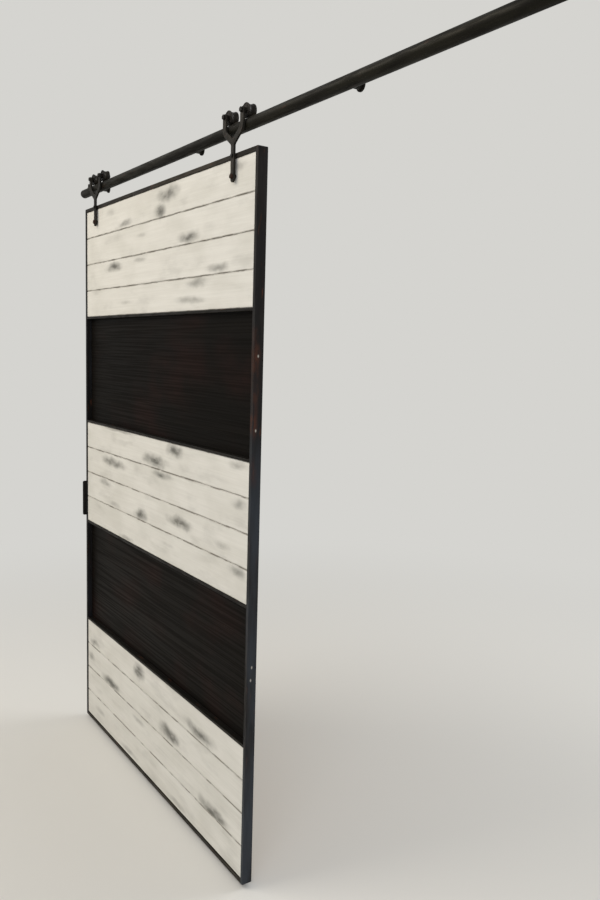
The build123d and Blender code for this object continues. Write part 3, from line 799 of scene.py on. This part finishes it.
# %% Screw heads on the plywood
def screw_head(diameter_mm, height_mm):
    """Pan head at the origin, facing +Y, with a cross recess."""
    nothing_selected()
    radius, height = diameter_mm * MM / 2, height_mm * MM
    bpy.ops.mesh.primitive_cylinder_add(vertices=24, radius=radius, depth=height,
                                        location=(0, height / 2, 0), rotation=(radians(-90), 0, 0))
    head = bpy.context.object
    bpy.ops.object.transform_apply(location=True, rotation=True, scale=True)
    bpy.ops.object.mode_set(mode="EDIT")
    pick(head, "EDGE", lambda centre: abs(centre.y - height) < TOUCH)
    bpy.ops.mesh.bevel(offset=height * 0.55, segments=3)
    bpy.ops.object.mode_set(mode="OBJECT")
    for turn in (0, 90):
        nothing_selected()
        bpy.ops.mesh.primitive_cube_add(size=1, location=(0, height, 0),
                                        rotation=(0, radians(turn), 0))
        slot = bpy.context.object
        slot.scale = (radius * 1.15, height * 0.9, radius * 0.26)
        head.modifiers.new("slot", "BOOLEAN").object = slot
        nothing_selected()
        head.select_set(True)
        bpy.context.view_layer.objects.active = head
        bpy.ops.object.modifier_apply(modifier="slot")
        bpy.data.objects.remove(slot)
    return settle(head, "screw head", bolt_steel, 40)


backing_low, backing_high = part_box("backing_board_1")[0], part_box("backing_board_2")[1]
SCREW_COLUMNS = 4
SCREW_FROM_EDGE_MM = 45
SCREW_HEAD_MM, SCREW_HEAD_HIGH_MM = 8.0, 2.2
pattern_head = screw_head(SCREW_HEAD_MM, SCREW_HEAD_HIGH_MM)
span = backing_high.x - backing_low.x - 2 * SCREW_FROM_EDGE_MM * MM
heads = []
for number in BOARD_MARKS:
    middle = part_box(f"board_{number:02d}")[0].z + BOARD_FACE_MM / 2 * MM
    for column in range(SCREW_COLUMNS):
        x = backing_low.x + SCREW_FROM_EDGE_MM * MM + span * column / (SCREW_COLUMNS - 1)
        spot = Vector((x, backing_high.y, middle))
        heads.append(copy_to(pattern_head, f"head {len(heads)}", spot))
back_screws = joined(heads, "Back_Screws")
bpy.data.objects.remove(pattern_head)
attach(back_screws, "door")
print(SCREW_COLUMNS * len(BOARD_MARKS), "screws on the plywood")

# %% [markdown]
# The edge pull is a small plate on the outer edge of the left stile. Two flat round heads hold it,
# one near each end. Each is a short cylinder whose face is inset twice, which leaves the round hole
# that its key fits.

# %% Screws of the edge pull
pull_low, pull_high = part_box("edge_pull")
PULL_SCREW_FROM_END_MM = 22
PULL_SCREW_MM, PULL_SCREW_HIGH_MM, PULL_SCREW_SUNK_MM = 9.2, 1.0, 0.3
KEY_INSET_MM, KEY_WALL_MM, KEY_DEPTH_MM = 2.9, 0.2, 0.6
stile_low, stile_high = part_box("frame_stile_left")
stile_middle = (stile_low.y + stile_high.y) / 2
pull_screws = []
for z in (pull_low.z + PULL_SCREW_FROM_END_MM * MM, pull_high.z - PULL_SCREW_FROM_END_MM * MM):
    nothing_selected()
    bpy.ops.mesh.primitive_cylinder_add(vertices=32, radius=PULL_SCREW_MM / 2 * MM,
                                        depth=PULL_SCREW_HIGH_MM * MM,
                                        location=(pull_low.x + PULL_SCREW_SUNK_MM * MM,
                                                  stile_middle, z),
                                        rotation=(0, radians(-90), 0))
    screw = bpy.context.object
    bpy.ops.object.transform_apply(location=True, rotation=True, scale=True)
    bpy.ops.object.mode_set(mode="EDIT")
    outer = min(vertex.co.x for vertex in screw.data.vertices)
    pick(screw, "FACE", lambda centre: centre.x < outer + TOUCH)
    bpy.ops.mesh.inset(thickness=KEY_INSET_MM * MM)
    bpy.ops.mesh.inset(thickness=KEY_WALL_MM * MM, depth=-KEY_DEPTH_MM * MM)
    bpy.ops.object.mode_set(mode="OBJECT")
    pull_screws.append(settle(screw, "pull screw", bolt_steel))
pull_screws = joined(pull_screws, "Edge_Pull_Screws")
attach(pull_screws, "door")
print("edge pull screwed on")

# %% [markdown]
# The studio: a large pale floor just below the door, which fades into the colour of the backdrop so
# that no horizon shows. The world gives an even grey light, and the camera sees the backdrop colour.

# %% Floor and backdrop
BACKDROP = "#D5D4D0"
FLOOR_COLOUR = "#DFDEDA"
FLOOR_GAP_MM = 12
FLOOR_RADIUS, FADE_FROM, FADE_TO = 40, 0.9, 4.6
nothing_selected()
bpy.ops.mesh.primitive_circle_add(vertices=96, radius=FLOOR_RADIUS, fill_type="NGON",
                                  location=(0, 0, cad_low.z - FLOOR_GAP_MM * MM))
floor = bpy.context.object
floor.name = "Studio_Floor"
floor_paint, tree, shader, place = start_material("Matt studio floor")
shader.inputs["Base Color"].default_value = tone(FLOOR_COLOUR)
shader.inputs["Roughness"].default_value = 0.9
shader.inputs["Specular IOR Level"].default_value = 0.1
distance = add(tree, "ShaderNodeVectorMath", {0: place}, operation="LENGTH").outputs["Value"]
far = add(tree, "ShaderNodeMapRange",
          {"Value": distance, "From Min": FADE_FROM, "From Max": FADE_TO},
          interpolation_type="SMOOTHSTEP").outputs[0]
path = add(tree, "ShaderNodeLightPath")
glow = add(tree, "ShaderNodeEmission", {"Color": tone(BACKDROP), "Strength": 1.0})
seen_far = times(tree, far, path.outputs["Is Camera Ray"])
mixed = add(tree, "ShaderNodeMixShader",
            {0: seen_far, 1: shader.outputs[0], 2: glow.outputs[0]})
tree.links.new(mixed.outputs[0], tree.nodes["Material Output"].inputs["Surface"])
floor.data.materials.append(floor_paint)

world = bpy.data.worlds.new("Even studio light")
bpy.context.scene.world = world
world.use_nodes = True
tree = world.node_tree
tree.nodes.clear()
path = add(tree, "ShaderNodeLightPath")
lighting = add(tree, "ShaderNodeBackground", {"Color": tone("#F2F1EE"), "Strength": 0.55})
backdrop = add(tree, "ShaderNodeBackground", {"Color": tone(BACKDROP), "Strength": 1.0})
mixed = add(tree, "ShaderNodeMixShader", {0: path.outputs["Is Camera Ray"], 1: lighting.outputs[0],
                                          2: backdrop.outputs[0]})
add(tree, "ShaderNodeOutputWorld", {"Surface": mixed.outputs[0]})
print("studio ready")

# %% [markdown]
# Two large soft lamps light the door: a warm one high in front and to the left, where the real
# door is brightest, and a cooler one at the right that shows the side of the frame. A third, weak
# one behind keeps the back readable.

# %% Lamps
def lamp(name, place, target, size, watts, colour):
    """Square soft lamp that faces a point."""
    light = bpy.data.lights.new(name, "AREA")
    light.size = size
    light.energy = watts
    light.color = tone(colour)[:3]
    holder = bpy.data.objects.new(name, light)
    holder.location = place
    holder.rotation_euler = (Vector(target) - Vector(place)).to_track_quat("-Z", "Y").to_euler()
    bpy.context.scene.collection.objects.link(holder)
    return holder


DOOR_MIDDLE = (-0.65, -0.05, -1.1)
lamp("Key lamp", (-1.9, -3.0, 1.7), DOOR_MIDDLE, 3.0, 98, "#FFF5E6")
lamp("Fill lamp", (2.8, -2.4, 0.2), DOOR_MIDDLE, 2.6, 42, "#F1F5FF")
lamp("Back lamp", (0.4, 3.6, 1.0), DOOR_MIDDLE, 2.4, 60, "#FFFFFF")
print("three lamps")

# %% [markdown]
# The camera stands to the right of the door, well below the rail, and looks back along it at the
# door's far edge. Its place was worked out from the boards' joints and the rail, so the render
# lines up with the view that the sizes were taken from, to within a few pixels.

# %% Camera
CAMERA_PLACE = (1.9491, -1.2003, -0.6191)
CAMERA_TURN, CAMERA_TILT, CAMERA_ROLL = 55.692, -6.895, 1.657
FOCAL_PIXELS = 805.1
IMAGE_HEIGHT = 900
SENSOR_MM = 36
camera = bpy.data.objects.new("Camera", bpy.data.cameras.new("Camera"))
camera.data.sensor_width = SENSOR_MM
camera.data.lens = FOCAL_PIXELS / IMAGE_HEIGHT * SENSOR_MM
turn = (Matrix.Rotation(radians(CAMERA_TURN), 4, "Z")
        @ Matrix.Rotation(radians(90 + CAMERA_TILT), 4, "X")
        @ Matrix.Rotation(radians(CAMERA_ROLL), 4, "Z"))
camera.matrix_world = Matrix.Translation(CAMERA_PLACE) @ turn
bpy.context.scene.collection.objects.link(camera)
bpy.context.scene.camera = camera
bpy.context.scene.view_settings.view_transform = "Standard"
print("camera", round(camera.data.lens, 2), "mm")
